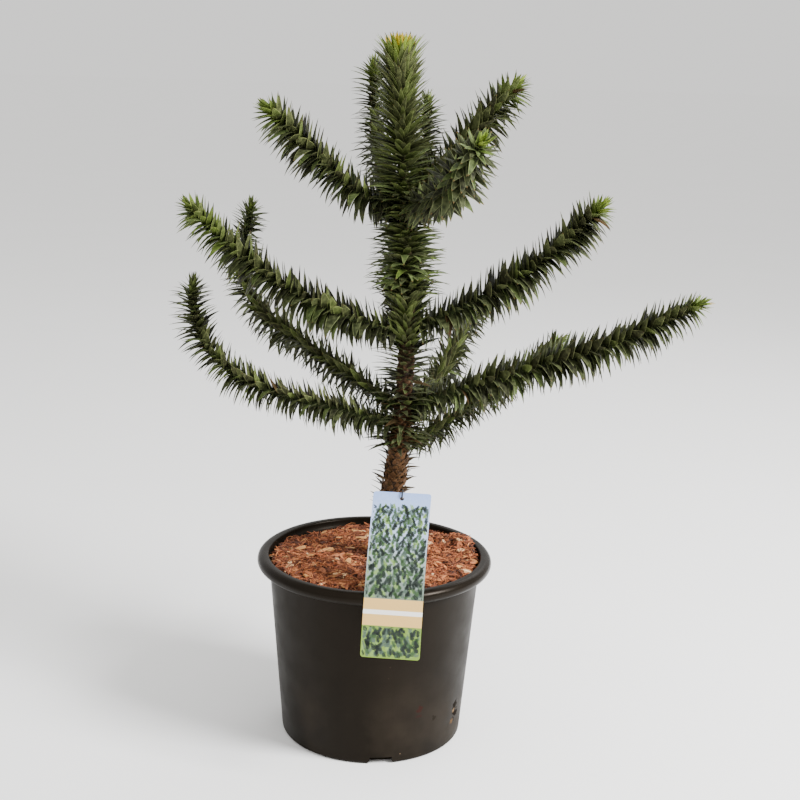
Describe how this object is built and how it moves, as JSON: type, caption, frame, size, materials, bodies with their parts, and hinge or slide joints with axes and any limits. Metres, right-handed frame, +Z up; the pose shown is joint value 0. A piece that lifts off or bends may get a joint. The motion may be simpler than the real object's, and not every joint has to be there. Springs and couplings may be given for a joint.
{
  "type": "potted monkey puzzle tree",
  "caption": "Young monkey puzzle tree with three whorls of boughs in stiff spiral leaves, rooted in a round nursery pot topped with bark mulch, with a label card tied to its trunk.",
  "frame": {"origin": "centre of the pot's flat underside", "axes": "+Z up along the pot axis; -Y towards the side that carries the label card; +X to the right of that side"},
  "size_m": [0.7414, 0.4422, 1.0037],
  "materials": {
    "pot_plastic": "black moulded polypropylene with a faint satin sheen",
    "potting_bark": "loose red-brown bark fibres and chips over potting compost",
    "bark": "rough brown bark with old leaf bases",
    "leaf": "stiff leathery leaves, dark green with a waxy bloom below",
    "dead_leaf": "dry brown spines",
    "label_print": "printed plastic card",
    "tie_plastic": "black elastic loop"
  },
  "bodies": {
    "root": {"bough_low_back": "bark", "bough_low_back_left": "bark", "bough_low_back_right": "bark", "bough_low_left": "bark", "bough_low_right": "bark", "bough_middle_back": "bark", "bough_middle_left": "bark", "bough_middle_right": "bark", "bough_top_back_left": "bark", "bough_top_back_right": "bark", "bough_top_front_right": "bark", "bough_top_left": "bark", "bough_top_right": "bark", "foliage_leader": "leaf", "foliage_low_back": "leaf", "foliage_low_back_left": "leaf", "foliage_low_back_left_end": "leaf", "foliage_low_back_right": "leaf", "foliage_low_left": "leaf", "foliage_low_left_end": "leaf", "foliage_low_right": "leaf", "foliage_middle_back": "leaf", "foliage_middle_left": "leaf", "foliage_middle_right": "leaf", "foliage_top_back_left": "leaf", "foliage_top_back_right": "leaf", "foliage_top_front_right": "leaf", "foliage_top_left": "leaf", "foliage_top_right": "leaf", "foliage_trunk_foot": "dead_leaf", "foliage_trunk_high": "leaf", "foliage_trunk_low": "leaf", "label_card": "label_print", "label_tie": "tie_plastic", "pot": "pot_plastic", "soil": "potting_bark", "trunk": "bark"}
  },
  "joints": []
}
